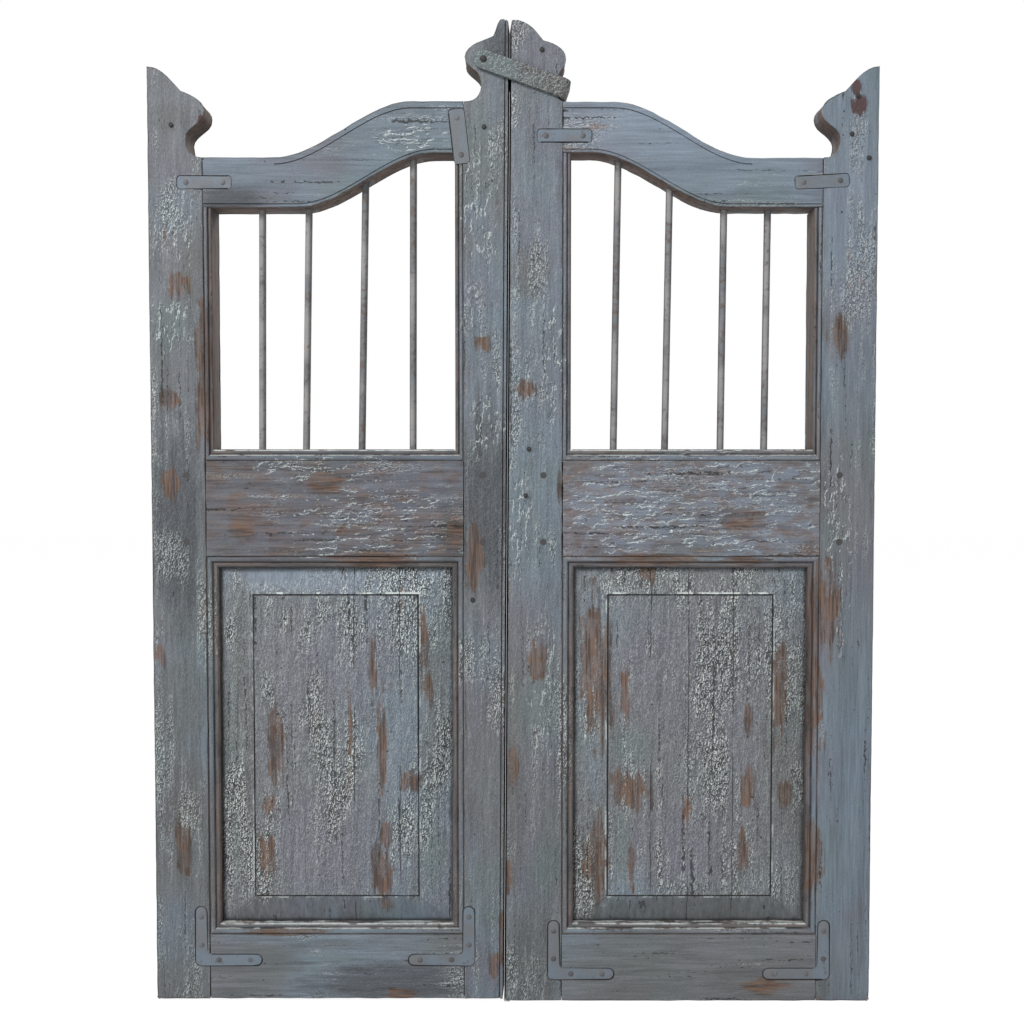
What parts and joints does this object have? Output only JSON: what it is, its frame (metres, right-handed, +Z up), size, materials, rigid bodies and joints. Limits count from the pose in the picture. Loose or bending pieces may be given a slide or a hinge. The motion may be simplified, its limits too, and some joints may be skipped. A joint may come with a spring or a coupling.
{
  "type": "pair of half-height wooden door leaves",
  "caption": "Pair of half-height painted wooden door leaves with carved heads, arched rails, barred windows, raised panels, butt hinges and a strap loop that holds them shut.",
  "frame": {"origin": "bottom middle of the pair, in the middle of its thickness", "axes": "+X to the right as seen from the front, +Y to the back, +Z up"},
  "size_m": [1.0374, 0.0592, 1.397],
  "materials": {
    "painted_wood": "worn, crackled blue-grey paint",
    "painted_iron": "painted over with the wood",
    "bar_iron": "thin worn grey paint",
    "hinge_iron": "dull, dark",
    "strap_leather": "dry, weathered"
  },
  "bodies": {
    "jamb_plates": {"left_upper_jamb_plate": "hinge_iron", "left_lower_jamb_plate": "hinge_iron", "left_upper_hinge_pin": "hinge_iron", "left_lower_hinge_pin": "hinge_iron", "right_upper_jamb_plate": "hinge_iron", "right_lower_jamb_plate": "hinge_iron", "right_upper_hinge_pin": "hinge_iron", "right_lower_hinge_pin": "hinge_iron"},
    "left_leaf": {"left_hinge_stile": "painted_wood", "left_meeting_stile": "painted_wood", "left_arched_rail": "painted_wood", "left_lock_rail": "painted_wood", "left_bottom_rail": "painted_wood", "left_panel": "painted_wood", "left_pegs": "painted_wood", "left_bar_1": "bar_iron", "left_bar_2": "bar_iron", "left_bar_3": "bar_iron", "left_bar_4": "bar_iron", "left_outer_plate": "painted_iron", "left_inner_plate": "painted_iron", "left_outer_corner_iron": "painted_iron", "left_inner_corner_iron": "painted_iron", "left_screws": "painted_iron", "left_upper_stile_plate": "hinge_iron", "left_lower_stile_plate": "hinge_iron", "left_hinge_screws": "hinge_iron", "latch_nail": "bar_iron"},
    "right_leaf": {"right_hinge_stile": "painted_wood", "right_meeting_stile": "painted_wood", "right_arched_rail": "painted_wood", "right_lock_rail": "painted_wood", "right_bottom_rail": "painted_wood", "right_panel": "painted_wood", "right_pegs": "painted_wood", "right_bar_1": "bar_iron", "right_bar_2": "bar_iron", "right_bar_3": "bar_iron", "right_bar_4": "bar_iron", "right_outer_plate": "painted_iron", "right_inner_plate": "painted_iron", "right_outer_corner_iron": "painted_iron", "right_inner_corner_iron": "painted_iron", "right_screws": "painted_iron", "right_upper_stile_plate": "hinge_iron", "right_lower_stile_plate": "hinge_iron", "right_hinge_screws": "hinge_iron"},
    "strap_loop": {"latch_strap": "strap_leather"}
  },
  "joints": [
    {"name": "left_leaf_swing", "type": "hinge", "parent": "jamb_plates", "child": "left_leaf", "pos_m": [-0.51475, 0.0255, 0.628], "axis": [0, 0, 1], "range_deg": [0, 100]},
    {"name": "right_leaf_swing", "type": "hinge", "parent": "jamb_plates", "child": "right_leaf", "pos_m": [0.51475, 0.0255, 0.625], "axis": [0, 0, -1], "range_deg": [0, 100]},
    {"name": "strap_lift", "type": "hinge", "parent": "left_leaf", "child": "strap_loop", "pos_m": [-0.0415, 0, 1.34], "axis": [0, -1, 0], "range_deg": [0, 200]}
  ]
}
